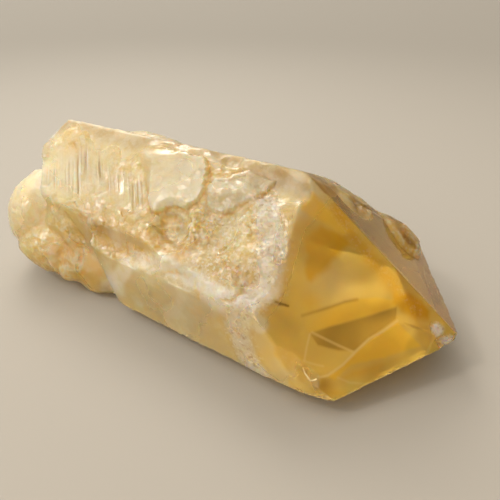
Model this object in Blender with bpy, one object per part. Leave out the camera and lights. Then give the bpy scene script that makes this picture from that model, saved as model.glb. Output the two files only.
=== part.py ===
"""Citrine crystal point: one quartz crystal that lies on its side, with a broken base.

The c-axis runs along +X toward the tip. Prism faces stand around it, rhombohedral
faces close it at the tip, and a rounded mass has grown on the broken base. Points are
given in millimetres from the tip, and the last step stands the crystal on z = 0.
A roll is an angle about the c-axis: 0 looks to the front (-Y) and 90 looks up.
"""
from math import cos, radians, sin, sqrt

import bmesh
import bpy
import numpy as np
from mathutils import Matrix, Vector, noise

MM = 0.001
CRYSTAL = "citrine_crystal"

# Driving dimensions, in millimetres and degrees.
ROLL = 49.5              # roll of the big rhombohedral face and the prism face under it
RHOMB_TILT = 51.8        # from the c-axis to the normal of a rhombohedral face
APOTHEM_BIG = 23.2       # from the axis through the tip to each prism face
APOTHEM_TOP = 22.7
APOTHEM_BACK = 24.0
APOTHEM_BACK_LOW = 20.5
APOTHEM_UNDER = 12.0
APOTHEM_FRONT = 25.5
TOP_TURN = 5.0           # the top prism face is turned back from its sixty degrees
FRONT_TURN = 6.5         # the front prism face leans back by this much
FRONT_TAPER = 3.2        # and narrows toward the base
REST_DEPTH = 7.2         # from the height of the tip down to the resting face
TIP_CHIP = 0.9           # how far the very tip is chipped back
BASE_X = -95.0           # where the broken base meets the top ridge
LOBE = Vector((-94.6, -11.2, 4.4))
LOBE_RADIUS = 12.0       # the rounded mass on the base
FAR_SHOULDER = Vector((-29.5, -4.9, 26.4))
FAR_BREAK = Vector((0.374, 0.433, 0.820))
TREADS = 8

TIP = Vector((0.0, 0.0, 0.0))
AXIS = Vector((1.0, 0.0, 0.0))
DOWN = Vector((0.0, 0.0, -1.0))


def around(roll):
    """Unit vector across the c-axis at a roll."""
    return Vector((0.0, -cos(radians(roll)), sin(radians(roll))))


def point_face(roll):
    """Outward normal of a face that closes the tip."""
    return AXIS * cos(radians(RHOMB_TILT)) + around(roll) * sin(radians(RHOMB_TILT))


def prism_face(roll, taper=0.0):
    """Outward normal of a prism face, which a taper turns toward the base."""
    return around(roll) * cos(radians(taper)) - AXIS * sin(radians(taper))


BIG_PRISM = prism_face(ROLL)
FRONT_PRISM = prism_face(ROLL - 60.0 + FRONT_TURN, FRONT_TAPER)
BIG_POINT = point_face(ROLL)


# ---------------------------------------------------------------- shapes

def fresh_collection(name):
    """An empty collection linked to the scene."""
    collection = bpy.data.collections.new(name)
    bpy.context.scene.collection.children.link(collection)
    return collection


def add_object(name, mesh, collection):
    """Turn a bmesh in millimetres into an object in metres."""
    bmesh.ops.scale(mesh, vec=(MM, MM, MM), verts=mesh.verts)
    bmesh.ops.recalc_face_normals(mesh, faces=mesh.faces)
    data = bpy.data.meshes.new(name)
    mesh.to_mesh(data)
    mesh.free()
    added = bpy.data.objects.new(name, data)
    collection.objects.link(added)
    return added


def cut_away(mesh, point, normal):
    """Remove what lies beyond a plane and close the cut with one flat face."""
    everything = mesh.verts[:] + mesh.edges[:] + mesh.faces[:]
    cut = bmesh.ops.bisect_plane(mesh, geom=everything, dist=1e-5, plane_co=point,
                                 plane_no=normal, clear_outer=True)
    rim = [item for item in cut["geom_cut"] if isinstance(item, bmesh.types.BMEdge)]
    if rim:
        bmesh.ops.edgenet_fill(mesh, edges=rim)


def facing(axis, roll=0.0):
    """Rotation that takes +Z to the axis, after a roll about +Z."""
    turn = Vector(axis).to_track_quat("Z", "X").to_matrix().to_4x4()
    return turn @ Matrix.Rotation(radians(roll), 4, "Z")


def ball(centre, radii, axis=(0.0, 0.0, 1.0), roll=0.0, detail=3, rough=0.0):
    """An ellipsoid whose third half-axis lies along the axis, made uneven by noise."""
    mesh = bmesh.new()
    bmesh.ops.create_icosphere(mesh, subdivisions=detail, radius=1.0)
    seat = Vector(centre) * 0.37
    for vert in mesh.verts:
        vert.co *= 1.0 + rough * noise.noise(vert.co * 1.7 + seat)
    place = Matrix.Translation(centre) @ facing(axis, roll) @ Matrix.Diagonal((*radii, 1.0))
    bmesh.ops.transform(mesh, matrix=place, verts=mesh.verts)
    return mesh


def box(centre, size, frame=Matrix.Identity(4)):
    """A box with its sizes along the axes of a frame."""
    mesh = bmesh.new()
    bmesh.ops.create_cube(mesh, size=1.0)
    place = Matrix.Translation(centre) @ frame @ Matrix.Diagonal((*size, 1.0))
    bmesh.ops.transform(mesh, matrix=place, verts=mesh.verts)
    return mesh


def scoop(point, axis, long_radius, short_radius, depth, roll=0.0, detail=3):
    """A ball that leaves a shell-shaped hollow of these radii and depth in a face."""
    rise = 0.72                      # share of the ball's half-axis that stays outside
    half = depth / (1.0 - rise)
    spread = 1.0 / sqrt(1.0 - rise * rise)
    centre = Vector(point) + Vector(axis).normalized() * (half * rise)
    radii = (long_radius * spread, short_radius * spread, half)
    return ball(centre, radii, axis, roll, detail, rough=0.10)


# ---------------------------------------------------------------- the crystal's faces

def crystal_body():
    """The flat-faced crystal: a block cut down by one face after another."""
    mesh = bmesh.new()
    bmesh.ops.create_cube(mesh, size=400.0)
    for roll in (ROLL, ROLL + 60.0, ROLL + 180.0, ROLL - 120.0):
        cut_away(mesh, TIP, point_face(roll))
    for roll, apothem in ((ROLL, APOTHEM_BIG), (ROLL + 60.0 + TOP_TURN, APOTHEM_TOP),
                          (ROLL + 115.0, APOTHEM_BACK), (ROLL + 180.0, APOTHEM_BACK_LOW),
                          (ROLL - 120.0, APOTHEM_UNDER)):
        cut_away(mesh, around(roll) * apothem, prism_face(roll))
    cut_away(mesh, FRONT_PRISM * APOTHEM_FRONT, FRONT_PRISM)
    # Flat breaks: the far shoulder, and two on the front shoulder.
    cut_away(mesh, FAR_SHOULDER, FAR_BREAK)
    cut_away(mesh, Vector((-12.8, -21.4, -4.0)), Vector((0.343, -0.921, -0.184)))
    cut_away(mesh, Vector((-24.0, -25.0, 3.5)), Vector((0.352, -0.931, 0.084)))
    # The broken base, its upper corner and its far corner.
    cut_away(mesh, Vector((BASE_X - 2.0, -11.0, 21.2)), Vector((-0.80, -0.38, -0.46)))
    cut_away(mesh, Vector((BASE_X, -5.9, 25.5)), Vector((-0.86, 0.0, 0.51)))
    cut_away(mesh, Vector((BASE_X + 4.0, 18.0, 6.0)), Vector((-0.80, 0.58, 0.16)))
    # The chipped tip.
    cut_away(mesh, Vector((-TIP_CHIP, 0.0, 0.0)), Vector((0.93, -0.30, 0.20)))
    # The face that it rests on.
    cut_away(mesh, DOWN * REST_DEPTH, DOWN)
    return mesh


def on_big(x, y):
    """The point of the big prism face over x and y."""
    return Vector((x, y, (APOTHEM_BIG - BIG_PRISM.y * y) / BIG_PRISM.z))


# ---------------------------------------------------------------- masses grown on it

def masses():
    """The rounded mass on the base, the lumps that join it, and two swellings."""
    yield "lobe", ball(LOBE, (LOBE_RADIUS,) * 3, detail=4, rough=0.07)
    yield "lobe_low", ball(LOBE + Vector((7.5, -5.5, -3.6)), (11.5, 7.5, 7.4), roll=20.0, rough=0.08)
    yield "lobe_back", ball(LOBE + Vector((2.0, 17.0, 0.5)), (9.0, 12.0, 10.5), roll=-15.0, rough=0.10)
    yield "neck", ball(LOBE + Vector((12.0, 0.5, 1.4)), (13.0, 10.4, 11.4), roll=10.0, rough=0.08)
    yield "base_fill", ball(LOBE + Vector((6.0, 10.0, -0.6)), (11.0, 14.0, 9.4), roll=5.0, rough=0.10)
    yield "crest_swelling", ball((-76.0, 4.0, 20.2), (13.0, 6.0, 4.0), (0.0, 0.3, 1.0), 90.0, rough=0.10)
    yield "far_swelling", ball((-19.8, 15.6, 8.0), (6.5, 8.0, 4.0), FAR_BREAK, 25.0, rough=0.12)


# ---------------------------------------------------------------- what broke away

def hollows():
    """Shell-shaped fractures: point, axis, two radii, depth and roll of each."""
    big = BIG_PRISM
    low_ridge = (BIG_PRISM + FRONT_PRISM).normalized()
    back = prism_face(ROLL + 115.0)
    yield "round_hollow", scoop(on_big(-52.4, -17.6), big, 6.0, 4.8, 1.8, 20.0)
    yield "plate_edge", scoop(on_big(-41.5, -14.6), big, 8.8, 6.2, 1.6, -35.0)
    yield "upper_lobe", scoop(on_big(-37.2, -7.4), big, 7.8, 3.8, 1.2, 86.0)
    yield "ridge_hollow", scoop((-50.5, -3.6, 27.0), (0.1, 0.05, 1.0), 8.5, 3.0, 1.2, 90.0)
    yield "groove", scoop((-61.0, -22.6, 10.9), low_ridge, 4.4, 13.5, 2.8, -4.0)
    yield "groove_front", scoop((-46.0, -23.6, 10.4), low_ridge, 3.2, 8.0, 1.6, 5.0)
    yield "far_shell", scoop((-24.8, 5.2, 18.9), FAR_BREAK, 6.5, 7.5, 2.2, 25.0)
    yield "band_top", scoop(on_big(-33.6, -14.3), big, 3.8, 6.8, 1.0, 12.0)
    yield "band_low", scoop(on_big(-31.0, -21.0), big, 3.4, 5.5, 1.3, -20.0)
    yield "corner_shell", scoop((-25.0, -25.6, -0.8), (0.1, -0.95, 0.1), 5.5, 4.2, 0.9, 40.0)
    yield "heel_shell", scoop((-37.0, -24.6, -5.6), (0.0, -0.75, -0.66), 7.0, 3.0, 0.9, 90.0)
    yield "base_shell", scoop((-93.0, 5.0, 14.0), (-0.93, -0.08, 0.2), 9.0, 7.0, 2.4, 30.0)
    yield "back_shell", scoop((-62.0, 23.6, 6.0), back, 9.0, 16.0, 2.2, 15.0)
    yield "back_shell_high", scoop((-74.0, 14.0, 18.4), prism_face(ROLL + 88.0), 8.0, 11.0, 2.0, 70.0)
    yield "back_low_shell", scoop((-45.0, 23.6, -2.0), prism_face(ROLL + 150.0), 6.5, 11.0, 1.8, 0.0)
    yield "top_shell", scoop((-57.0, 9.0, 20.8), prism_face(ROLL + 65.0), 6.0, 10.0, 1.2, 80.0)
    yield "tip_bite", scoop((-4.6, -2.8, 2.4), BIG_POINT, 1.4, 0.9, 0.4, 30.0, detail=2)
    yield "tip_bite_low", scoop((-2.2, -2.1, 0.1), (0.5, -0.8, 0.1), 1.7, 1.0, 0.5, 60.0, detail=2)
    yield "point_shell", scoop((-12.0, 12.5, -1.0), point_face(ROLL + 180.0), 4.5, 6.0, 1.0, 30.0)


def treads():
    """Narrow steps that slant across the big prism face near the base."""
    slant = Vector((0.78, -0.47, -0.41)).normalized()
    across = BIG_PRISM.cross(slant).normalized()
    for index in range(TREADS):
        share = index / (TREADS - 1)
        start = on_big(-86.0 + 25.0 * share, -11.5 - 3.6 * share)
        lean = (BIG_PRISM + across * (0.30 - 0.05 * (index % 3)) + slant * 0.07).normalized()
        along = (slant - lean * slant.dot(lean)).normalized()
        frame = Matrix((along, lean.cross(along), lean)).transposed().to_4x4()
        size = (9.0 + 2.5 * (index % 3), 3.4, 3.0)
        middle = start + lean * (size[2] / 2.0 - 0.35)
        yield f"tread_{index}", box(middle, size, frame)


def plate_end():
    """The front face is a plate that ends short of the base, with a hollow behind it."""
    end_wall = Vector((-0.92, -0.10, -0.38))
    wall_up = FRONT_PRISM.cross(end_wall).normalized()
    frame = Matrix((wall_up.cross(FRONT_PRISM), wall_up, FRONT_PRISM)).transposed().to_4x4()
    size = Vector((34.0, 40.0, 6.0))
    corner = Vector((-68.0, -21.4, 2.0))
    inward = 2.0
    middle = corner + frame.to_3x3() @ Vector((size.x / 2.0, 0.0, size.z / 2.0 - inward))
    return [("plate_end", box(middle, size, frame))]


def pits():
    """Small bites along the shattered edges, spread by a seeded generator."""
    random = np.random.default_rng(11)
    low_ridge = (BIG_PRISM + FRONT_PRISM).normalized()
    edges = (("band", (-30.6, -7.2, 24.4), (-28.6, -25.6, 8.4), BIG_PRISM, 7),
             ("ridge", (-66.0, -23.6, 10.4), (-33.0, -25.2, 9.0), low_ridge, 7),
             ("shoulder", (-27.5, -25.4, 6.0), (-17.0, -23.4, -1.6), low_ridge, 4),
             ("crest", (-70.0, -4.6, 26.6), (-36.0, -4.4, 26.9), Vector((0.0, -0.1, 1.0)), 5))
    for name, start, end, axis, count in edges:
        for index in range(count):
            share = (index + random.uniform(0.2, 0.8)) / count
            place = Vector(start).lerp(Vector(end), share) + Vector(random.normal(0.0, 0.5, 3))
            size = random.uniform(1.3, 2.6)
            lean = axis + Vector(random.normal(0.0, 0.25, 3))
            roll = random.uniform(0.0, 180.0)
            yield f"{name}_pit_{index}", scoop(place, lean, size * 1.4, size, size * 0.38, roll, detail=2)


# ---------------------------------------------------------------- assembly

def citrine():
    """Pale golden, see-through quartz."""
    material = bpy.data.materials.new("citrine")
    material.use_nodes = True
    shader = material.node_tree.nodes["Principled BSDF"]
    shader.inputs["Base Color"].default_value = (0.83, 0.62, 0.27, 1.0)
    shader.inputs["Roughness"].default_value = 0.12
    shader.inputs["IOR"].default_value = 1.55
    shader.inputs["Transmission Weight"].default_value = 0.6
    return material


def combine(crystal, shapes, operation, cutters):
    """Join or cut the crystal with each named shape in turn."""
    for name, mesh in shapes:
        other = add_object(name, mesh, cutters)
        other.hide_render = True
        other.display_type = "WIRE"
        modifier = crystal.modifiers.new(name, "BOOLEAN")
        modifier.operation = operation
        modifier.solver = "EXACT"
        modifier.object = other


def stand_at_origin(crystal, others):
    """Move everything so that the box of the crystal stands centred on z = 0."""
    bpy.context.view_layer.update()
    shaped = crystal.evaluated_get(bpy.context.evaluated_depsgraph_get()).to_mesh()
    points = np.empty(len(shaped.vertices) * 3, dtype=np.float32)
    shaped.vertices.foreach_get("co", points)
    points = points.reshape(-1, 3)
    low, high = points.min(axis=0), points.max(axis=0)
    shift = Vector((-(low[0] + high[0]) / 2.0, -(low[1] + high[1]) / 2.0, -low[2]))
    for item in [crystal, *others]:
        item.location = shift


for old in list(bpy.data.objects):
    bpy.data.objects.remove(old, do_unlink=True)
parts = fresh_collection(CRYSTAL)
cutters = fresh_collection("cutters")
crystal = add_object(CRYSTAL, crystal_body(), parts)
crystal.data.materials.append(citrine())
combine(crystal, plate_end(), "DIFFERENCE", cutters)
combine(crystal, masses(), "UNION", cutters)
combine(crystal, [("below_rest", box(DOWN * (REST_DEPTH + 20.0), (400.0, 400.0, 40.0)))], "DIFFERENCE", cutters)
combine(crystal, hollows(), "DIFFERENCE", cutters)
combine(crystal, treads(), "DIFFERENCE", cutters)
combine(crystal, pits(), "DIFFERENCE", cutters)
stand_at_origin(crystal, cutters.objects)
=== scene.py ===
import math

import bmesh
import bpy
import numpy as np
from mathutils import Matrix, Vector


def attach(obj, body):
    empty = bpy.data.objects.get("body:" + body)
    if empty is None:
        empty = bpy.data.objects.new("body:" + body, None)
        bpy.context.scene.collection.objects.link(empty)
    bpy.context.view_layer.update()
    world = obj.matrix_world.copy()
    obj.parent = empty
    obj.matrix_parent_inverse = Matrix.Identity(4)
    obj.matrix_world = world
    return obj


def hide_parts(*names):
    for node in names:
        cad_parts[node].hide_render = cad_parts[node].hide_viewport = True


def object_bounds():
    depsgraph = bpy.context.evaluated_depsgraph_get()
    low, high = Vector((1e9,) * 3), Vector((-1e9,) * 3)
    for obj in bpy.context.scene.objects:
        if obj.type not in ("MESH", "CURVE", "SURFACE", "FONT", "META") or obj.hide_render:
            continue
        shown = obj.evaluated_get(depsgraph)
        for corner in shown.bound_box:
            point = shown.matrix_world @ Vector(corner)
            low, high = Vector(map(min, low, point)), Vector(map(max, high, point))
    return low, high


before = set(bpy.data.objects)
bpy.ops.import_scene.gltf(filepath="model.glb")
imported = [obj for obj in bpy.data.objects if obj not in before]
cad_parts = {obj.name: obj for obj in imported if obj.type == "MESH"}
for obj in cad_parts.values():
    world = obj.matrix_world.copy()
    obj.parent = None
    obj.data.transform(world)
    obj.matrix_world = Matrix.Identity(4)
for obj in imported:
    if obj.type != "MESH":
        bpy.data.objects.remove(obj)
cad_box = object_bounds()


# ---------------------------------------------------------------- crystal
# One quartz crystal that grew in free space at its point and broke off at its base.
# The point's faces are flat and glassy; the prism is chipped, stepped and cloudy.

MM = 0.001
TIP = np.array([0.053684, -0.000631, 0.0072])     # the crystal's point, in metres
CELLS = 8                                         # the surface net has 2 ** 8 cells along the crystal
LOW_CORNER, HIGH_CORNER = (np.array(corner) for corner in cad_box)
FACE_FRONT = np.array([0.618, -0.510, 0.598])     # outward directions of the point's four faces
FACE_BACK = np.array([0.618, 0.262, 0.741])
FACE_UNDER = np.array([0.618, -0.262, -0.741])
FACE_FAR = np.array([0.618, 0.510, -0.598])
POINT_FACES = (FACE_FRONT, FACE_BACK, FACE_UNDER, FACE_FAR)
PRISM_FRONT = np.array([-0.056, -0.996, -0.070])
PRISM_TOP = np.array([0.0, -0.649, 0.760])


def merged_copy(node, name):
    """A copy of a node's mesh with its loose triangles joined at their corners."""
    copied = bmesh.new()
    copied.from_mesh(node.data)
    bmesh.ops.remove_doubles(copied, verts=copied.verts, dist=1e-6)
    data = bpy.data.meshes.new(name)
    copied.to_mesh(data)
    copied.free()
    made = bpy.data.objects.new(name, data)
    bpy.context.scene.collection.objects.link(made)
    return made


def apply_modifiers(piece):
    """Put the evaluated shape into the piece's own mesh."""
    bpy.context.view_layer.update()
    shaped = bpy.data.meshes.new_from_object(piece.evaluated_get(bpy.context.evaluated_depsgraph_get()))
    piece.modifiers.clear()
    piece.data = shaped


def fine_net(piece, depth):
    """An even net of small cells that keeps the sharp edges between faces."""
    net = piece.modifiers.new("net", "REMESH")
    net.mode = "SHARP"
    net.octree_depth = depth
    net.scale = 0.85
    net.sharpness = 1.0
    net.use_remove_disconnected = True
    apply_modifiers(piece)


def read_rows(mesh, field):
    """A mesh's vertex positions or directions as rows of three."""
    values = np.empty(len(mesh.vertices) * 3, dtype=np.float32)
    if field == "co":
        mesh.vertices.foreach_get("co", values)
    else:
        mesh.vertex_normals.foreach_get("vector", values)
    return values.reshape(-1, 3).astype(np.float64)


def write_points(mesh, points):
    """Moves a mesh's vertices, kept inside the solid's own box."""
    held = np.clip(points, LOW_CORNER + 1e-6, HIGH_CORNER - 1e-6)
    mesh.vertices.foreach_set("co", held.astype(np.float32).ravel())
    mesh.update()


def ease(values):
    """0 below 0, 1 above 1, and a smooth S between: t t (3 - 2 t)."""
    held = np.clip(values, 0.0, 1.0)
    return held * held * (3.0 - 2.0 * held)


def scattered(corners, seed):
    """A repeatable number from 0 to 1 for each whole-number corner, by mixing the corner's bits."""
    x, y, z = (corners[..., axis].astype(np.int64).astype(np.uint32) for axis in range(3))
    mixed = x * np.uint32(374761393) + y * np.uint32(668265263) + z * np.uint32(2147483647 - 97)
    mixed = mixed + np.uint32(seed * 974711)
    mixed = (mixed ^ (mixed >> np.uint32(13))) * np.uint32(1274126177)
    mixed = (mixed ^ (mixed >> np.uint32(16))) * np.uint32(2246822519)
    return ((mixed ^ (mixed >> np.uint32(15))) & np.uint32(0xFFFFFF)) / float(0xFFFFFF)


def lumps(points, size, seed):
    """Smooth random lumps about size across, from -1 to 1: corner values blended with an S curve."""
    placed = points / size
    corner = np.floor(placed)
    part = placed - corner
    part = part * part * (3.0 - 2.0 * part)
    total = np.zeros(len(points))
    for dx in (0, 1):
        for dy in (0, 1):
            for dz in (0, 1):
                step = np.array((dx, dy, dz))
                share = np.abs(1 - step - part).prod(axis=1)
                total += share * scattered(corner + step, seed)
    return total * 2.0 - 1.0


def shells(points, size, seed):
    """Shell-shaped chips: the squared distance to the nearest of scattered centres, 0 at a chip's
    middle and 1 at its rim and beyond."""
    placed = points / size
    corner = np.floor(placed)
    nearest = np.ones(len(points))
    for dx in (-1, 0, 1):
        for dy in (-1, 0, 1):
            for dz in (-1, 0, 1):
                cell = corner + (dx, dy, dz)
                centre = cell + np.stack([scattered(cell, seed + step) for step in (0, 1, 2)], axis=-1)
                nearest = np.minimum(nearest, ((placed - centre) ** 2).sum(axis=1))
    return nearest


def blob(points, centre, radii):
    """1 in the middle of an egg shape, falling smoothly to 0 at its skin."""
    away = np.sqrt((((points - centre) / radii) ** 2).sum(axis=1))
    return ease(1.0 - away)


def along(points, places, width):
    """1 on a line through the places, falling smoothly to 0 at width from it."""
    places = np.array(places, dtype=float)
    nearest = np.full(len(points), 1e9)
    for start, end in zip(places[:-1], places[1:]):
        run = end - start
        share = np.clip(((points - start) @ run) / (run @ run), 0.0, 1.0)
        nearest = np.minimum(nearest, np.linalg.norm(points - start - share[:, None] * run, axis=1))
    return ease(1.0 - nearest / width)


def averaged(values, edges, count):
    """Each vertex's mean over the vertices joined to it."""
    total = np.zeros_like(values)
    for axis in range(values.shape[1]):
        total[:, axis] = (np.bincount(edges[:, 0], values[edges[:, 1], axis], count)
                          + np.bincount(edges[:, 1], values[edges[:, 0], axis], count))
    joined = np.bincount(edges.ravel(), minlength=count)
    return total / np.maximum(joined, 1)[:, None]


def edge_rows(mesh):
    """The two vertex numbers of every edge."""
    values = np.empty(len(mesh.edges) * 2, dtype=np.int32)
    mesh.edges.foreach_get("vertices", values)
    return values.reshape(-1, 2)


def face_rows(mesh, field):
    """A mesh's face centres or directions as rows of three."""
    values = np.empty(len(mesh.polygons) * 3, dtype=np.float32)
    mesh.polygons.foreach_get(field, values)
    return values.reshape(-1, 3)


def relax(points, share, edges, rounds):
    """Moves the points, in place, half way to the mean of their neighbours, as far as each one's share
    says, once in every round."""
    for _ in range(rounds):
        points += 0.5 * share[:, None] * (averaged(points, edges, len(points)) - points)


def strongest(points, eggs):
    """The strongest of several egg-shaped masks, each a centre and three radii."""
    return np.max([blob(points, centre, radii) for centre, radii in eggs], axis=0)


def joined_finer(mesh, chosen):
    """Halves the chosen faces' cells, so thin lines can be laid on the point's flat faces."""
    cut = bmesh.new()
    cut.from_mesh(mesh)
    cut.faces.ensure_lookup_table()
    sides = {edge for number in np.flatnonzero(chosen) for edge in cut.faces[number].edges}
    bmesh.ops.subdivide_edges(cut, edges=list(sides), cuts=1, use_grid_fill=True)
    cut.to_mesh(mesh)
    cut.free()


def flakes(points, size, seed):
    """Flat chips: a point takes the height of a tilted plane through the nearest scattered centre."""
    placed = points / size
    corner = np.floor(placed)
    nearest = np.full(len(points), 9.0)
    height = np.zeros(len(points))
    for dx in (-1, 0, 1):
        for dy in (-1, 0, 1):
            for dz in (-1, 0, 1):
                cell = corner + (dx, dy, dz)
                centre = cell + np.stack([scattered(cell, seed + step) for step in (0, 1, 2)], axis=-1)
                tilt = np.stack([scattered(cell, seed + step) for step in (3, 4, 5)], axis=-1) - 0.5
                away = placed - centre
                gap = (away ** 2).sum(axis=1)
                closer = gap < nearest
                nearest = np.where(closer, gap, nearest)
                height = np.where(closer, (away * tilt).sum(axis=1) * 2.0, height)
    return height


def inside(places, outline):
    """How far flat places lie inside a closed outline: the distance to its nearest side, and less
    than 0 outside."""
    outline = np.array(outline, dtype=float)
    nearest = np.full(len(places), 1e9)
    within = np.zeros(len(places), dtype=bool)
    for start, end in zip(outline, np.roll(outline, -1, axis=0)):
        run = end - start
        share = np.clip(((places - start) @ run) / (run @ run), 0.0, 1.0)
        nearest = np.minimum(nearest, np.linalg.norm(places - start - share[:, None] * run, axis=1))
        rises = (start[1] > places[:, 1]) != (end[1] > places[:, 1])
        crossing = start[0] + (places[:, 1] - start[1]) * run[0] / (run[1] if run[1] else 1e-9)
        within ^= rises & (places[:, 0] < crossing)
    return np.where(within, nearest, -nearest)


crystal = merged_copy(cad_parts["citrine_crystal"], "citrine_point")
fine_net(crystal, CELLS)
mesh = crystal.data

PLANE_REACH = 0.3                                 # a place this near a face's plane lies on the face
PLANE_TURN = 0.90                                 # and looks at least this much the face's way


def on_face(spots, facing, face):
    """Whether places lie on a flat face through the point's tip and look the way it looks."""
    return (np.abs(spots @ face) < PLANE_REACH) & (facing @ face > PLANE_TURN)


centres = (face_rows(mesh, "center") - TIP) / MM
joined_finer(mesh, on_face(centres, face_rows(mesh, "normal"), FACE_FRONT))

edges = edge_rows(mesh)
count = len(mesh.vertices)
spots = (read_rows(mesh, "co") - TIP) / MM
facing = read_rows(mesh, "normal")

# Every place below is in millimetres from the crystal's point. The crease between the front face
# of the point and the prism is worn round, the silky block is evened, and the foot beside the
# grown-on mass is drawn out, so that the wall runs into the mass without a notch.
CREASE_LINE = [(-30, -5.5, 26), (-30, -10, 21.5), (-29, -15, 17), (-28.5, -20, 12.5), (-27.5, -24.5, 7.5),
               (-24, -24.6, 2), (-21, -24, -2)]
CREASE_WIDTH = 6.5
SILK_EGGS = (((-82, -13, 19), (15, 9, 8)), ((-68, -14, 18), (10, 6, 6)))
FOOT_EGG = ((-77.0, -19.5, -2.5), (10, 7, 8))
FOOT_DRAWN = np.array([0.3, -2.7, -1.0])          # how far the foot is drawn out
UNDERSIDE = -7.0                                  # what is lower than this rests on the floor
PLATE_START = -22.0                               # the prism's front wall begins this far from the point
EDGE_ROUNDS, SILK_ROUNDS, FOOT_ROUNDS, MASK_ROUNDS, WORN_ROUNDS = 6, 24, 30, 4, 14

crease = along(spots, CREASE_LINE, CREASE_WIDTH)
resting = (spots[:, 2] < UNDERSIDE).astype(float)
flat = np.any([on_face(spots, facing, face) for face in POINT_FACES], axis=0) * 1.0
bend = np.ones(count)
turn = (facing[edges[:, 0]] * facing[edges[:, 1]]).sum(axis=1)
np.minimum.at(bend, edges[:, 0], turn)
np.minimum.at(bend, edges[:, 1], turn)
plate = ((facing @ PRISM_FRONT > 0.97) & (spots[:, 0] < PLATE_START)) * 1.0
loose = (1.0 - flat) * np.where(bend < 0.80, 0.35, 1.0) * (1.0 - 0.5 * plate)
loose = np.maximum(loose, ease(1.6 * crease)) * (1.0 - resting)
relax(spots, loose, edges, EDGE_ROUNDS)
silk = ease(1.6 * strongest(spots, SILK_EGGS))
relax(spots, silk, edges, SILK_ROUNDS)
foot = ease(1.6 * blob(spots, *FOOT_EGG)) * (1.0 - resting)
spots += foot[:, None] * FOOT_DRAWN
relax(spots, foot, edges, FOOT_ROUNDS)
write_points(mesh, TIP + spots * MM)
facing = read_rows(mesh, "normal")
masks = np.stack([flat, plate, resting], axis=-1)
for _ in range(MASK_ROUNDS):
    facing = 0.5 * facing + 0.5 * averaged(facing, edges, count)
    masks = 0.5 * masks + 0.5 * averaged(masks, edges, count)
facing /= np.linalg.norm(facing, axis=1)[:, None]
flat, plate, resting = ease(masks.T * 1.6 - 0.2)

# Places on the large broken face of the prism are (along the crystal, down the face); those on the
# point's front face are seen from above.
LOBE_EGG = ((-94.6, -11.2, 4.4), (19, 17, 19))    # the milky mass grown on the base
GRAIN_EGGS = (((-44, -16, 17), (15, 9, 8)), ((-39, -20, 13), (12, 6, 6)))
FROST_LINE = [(-36, -10, 21.5), (-31, -14.5, 17), (-29, -20, 12), (-31, -23, 9.5), (-32.5, -24, 4),
              (-30, -23.7, -2.5), (-25, -23.5, -7)]
FROST_WIDTH = 4.5
SHELL_OUTLINE = [(-70.0, -11.5), (-64.1, -12.6), (-57.4, -12.6), (-52.1, -12.6), (-50.0, -10.1),
                 (-48.6, -6.1), (-49.0, -2.9), (-50.7, -1.1), (-53.4, -1.0), (-55.2, -0.4),
                 (-56.4, 0.9), (-57.5, 1.8), (-59.6, 0.8), (-62.2, -2.7), (-65.3, -6.4), (-68.9, -9.3)]
SHELL_TWO_OUTLINE = [(-48.8, -7.0), (-47.9, -8.7), (-44.6, -9.9), (-41.8, -12.0), (-39.1, -11.8),
                     (-36.1, -11.1), (-36.6, -9.1), (-38.0, -6.7), (-40.8, -5.1), (-42.5, -3.0),
                     (-44.9, -2.1), (-47.1, -3.0)]
BOWL_OUTLINE = [(-55.4, 0.1), (-52.2, -0.5), (-49.1, 1.0), (-47.2, 3.4), (-47.0, 5.7), (-50.2, 6.6),
                (-53.7, 5.9), (-55.8, 4.1), (-56.8, 1.5)]
SHELL_RISE, SHELL_TWO_RISE, BOWL_SINK = 0.75, 0.55, 0.55
SHELL_EDGE = 0.45                                 # how wide a shell's crisp rim is

down = -0.760 * spots[:, 1] - 0.649 * spots[:, 2]
prism = np.stack([spots[:, 0], down], axis=-1)
above = spots[:, :2]
upward = ease((facing @ PRISM_TOP - 0.35) * 4.0)
sharp_front = ease((facing @ FACE_FRONT - 0.90) * 20.0) * ease((0.8 - np.abs(spots @ FACE_FRONT)) * 3.0)
wander = np.stack([lumps(spots, 3.0, seed) for seed in (61, 62)], axis=-1)
wander += 0.4 * np.stack([lumps(spots, 1.2, seed) for seed in (63, 64)], axis=-1)

lobe = blob(spots, *LOBE_EGG)
grain = strongest(spots, GRAIN_EGGS)
frost = along(spots, FROST_LINE, FROST_WIDTH)
shell = inside(prism + 0.35 * wander, SHELL_OUTLINE)
shell_two = inside(prism + 0.35 * wander, SHELL_TWO_OUTLINE)
bowl = inside(prism + 0.25 * wander, BOWL_OUTLINE)
rugged = (1.0 - flat) * (1.0 - 0.85 * lobe) * (1.0 - 0.92 * plate) * (1.0 - resting)
rugged *= (1.0 - 0.75 * ease(shell * 1.5) * upward) * (1.0 - 0.6 * ease(1.4 * crease))

bent = spots + 1.5 * np.stack([lumps(spots, 6.0, seed) for seed in (1, 2, 3)], axis=-1)
big_chips = shells(bent * (0.8, 1.0, 1.0), 7.5, 11)
small_chips = shells(bent, 2.6, 21)
grit = shells(spots, 1.2, 31)
patchy = ease(0.5 + 0.9 * lumps(spots, 11.0, 5))
height = rugged * (0.27 * (big_chips - 0.4) + (0.03 + 0.09 * patchy) * (small_chips - 0.4))
crest = ease((spots[:, 2] - 18.0) / 4.0)
height += rugged * (1.0 - silk) * (1.0 - 0.5 * crest) * (
    0.30 * flakes(bent, 4.6, 71) + 0.13 * flakes(bent, 1.9, 81))
height += rugged * np.maximum(grain, 0.9 * frost) * 0.14 * (grit - 0.4)
height += frost * (1.0 - resting) * 0.16 * lumps(spots, 1.0, 9)
shell_ramp = SHELL_EDGE + 3.6 * ease((-57.0 - spots[:, 0]) / 9.0)    # its left side runs out flat
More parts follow.
